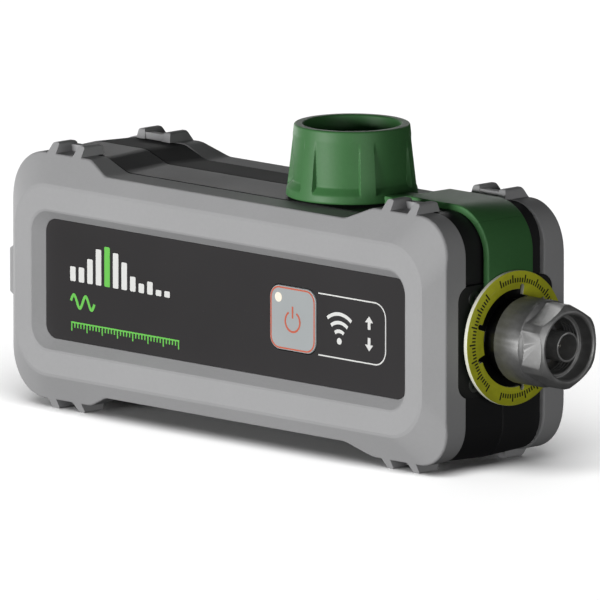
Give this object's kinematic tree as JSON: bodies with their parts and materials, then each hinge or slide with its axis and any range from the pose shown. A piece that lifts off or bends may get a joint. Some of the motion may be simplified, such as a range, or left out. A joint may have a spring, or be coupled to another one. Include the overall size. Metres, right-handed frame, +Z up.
{
  "type": "antenna analyzer",
  "caption": "Palm-size radio cable and antenna analyzer with a threaded test port, rubber bumpers, a strapped protective cap, a power button and a charging port cover.",
  "frame": {"origin": "under the middle of the case, on the surface that its feet stand on", "axes": "+X along the case towards the test port, the label faces -Y, +Z up"},
  "size_m": [0.1908, 0.0528, 0.0866],
  "materials": {
    "bumper_rubber": "matte",
    "case_plastic": "satin",
    "gasket_rubber": "matte",
    "label_film": "satin",
    "button_film": "satin",
    "lens": "gloss",
    "dark_plastic": "matte",
    "board_laminate": "satin",
    "tin": "satin",
    "screw_steel": "satin",
    "brass": "satin",
    "nickel": "satin",
    "black_nickel": "satin",
    "gold": "polished",
    "dielectric": "satin",
    "disc_film": "satin",
    "strap_rubber": "matte",
    "battery_wrap": "satin",
    "lead_jacket": "satin",
    "copper": "satin"
  },
  "bodies": {
    "case": {"front_bumper": "bumper_rubber", "rear_bumper": "bumper_rubber", "front_housing": "case_plastic", "rear_housing": "case_plastic", "seam_gasket": "gasket_rubber", "housing_screws": "screw_steel", "front_label": "label_film", "rear_label": "label_film", "power_switch": "dark_plastic", "status_led": "dielectric", "main_board": "board_laminate", "board_standoffs": "brass", "board_screws": "screw_steel", "radio_shield_can": "tin", "processor_shield_can": "tin", "wireless_module": "tin", "board_coax_socket": "gold", "coax_jumper": "copper", "coax_ferrule": "gold", "battery_pack": "battery_wrap", "battery_bracket": "tin", "bracket_screws": "screw_steel", "battery_socket": "dielectric", "battery_leads": "lead_jacket", "charge_socket": "tin", "cover_hinge_pin": "screw_steel", "port_boss_plate": "case_plastic", "port_plate_screws": "screw_steel", "port_seal": "gasket_rubber", "connector_body": "black_nickel", "connector_lock_nut": "nickel", "connector_insulator": "dielectric", "centre_pin": "gold", "outer_contact": "nickel", "nut_gasket": "gasket_rubber", "nut_retaining_ring": "brass", "torque_disc": "disc_film", "strap_eyelet": "strap_rubber"},
    "coupling_nut": {"coupling_nut": "nickel"},
    "power_button": {"power_button": "button_film", "status_light_lens": "lens", "switch_plunger": "dark_plastic"},
    "charge_port_cover": {"charge_port_cover": "gasket_rubber"},
    "strap_corner": {"strap_corner_link": "strap_rubber"},
    "strap_top": {"strap_top_link": "strap_rubber"},
    "cap": {"protective_cap": "strap_rubber"}
  },
  "joints": [
    {"name": "nut_spin", "type": "hinge", "parent": "case", "child": "coupling_nut", "pos_m": [0.0895, 0, 0.0362], "axis": [1, 0, 0], "continuous": true},
    {"name": "button_press", "type": "slide", "parent": "case", "child": "power_button", "axis": [0, 1, 0], "range_m": [0, 0.0008], "stiffness_N_per_m": 1500},
    {"name": "cover_hinge", "type": "hinge", "parent": "case", "child": "charge_port_cover", "pos_m": [-0.081, 0.009, 0.0362], "axis": [0, 0, -1], "range_deg": [0, 90]},
    {"name": "strap_root_bend", "type": "hinge", "parent": "case", "child": "strap_corner", "pos_m": [0.08335, 0, 0.0577], "axis": [0, 1, 0], "range_deg": [0, 90]},
    {"name": "strap_corner_bend", "type": "hinge", "parent": "strap_corner", "child": "strap_top", "pos_m": [0.06965, 0, 0.0703], "axis": [0, 1, 0], "range_deg": [0, 90]},
    {"name": "cap_bend", "type": "hinge", "parent": "strap_top", "child": "cap", "pos_m": [0.0596, 0, 0.0703], "axis": [0, 1, 0], "range_deg": [0, 90]}
  ]
}
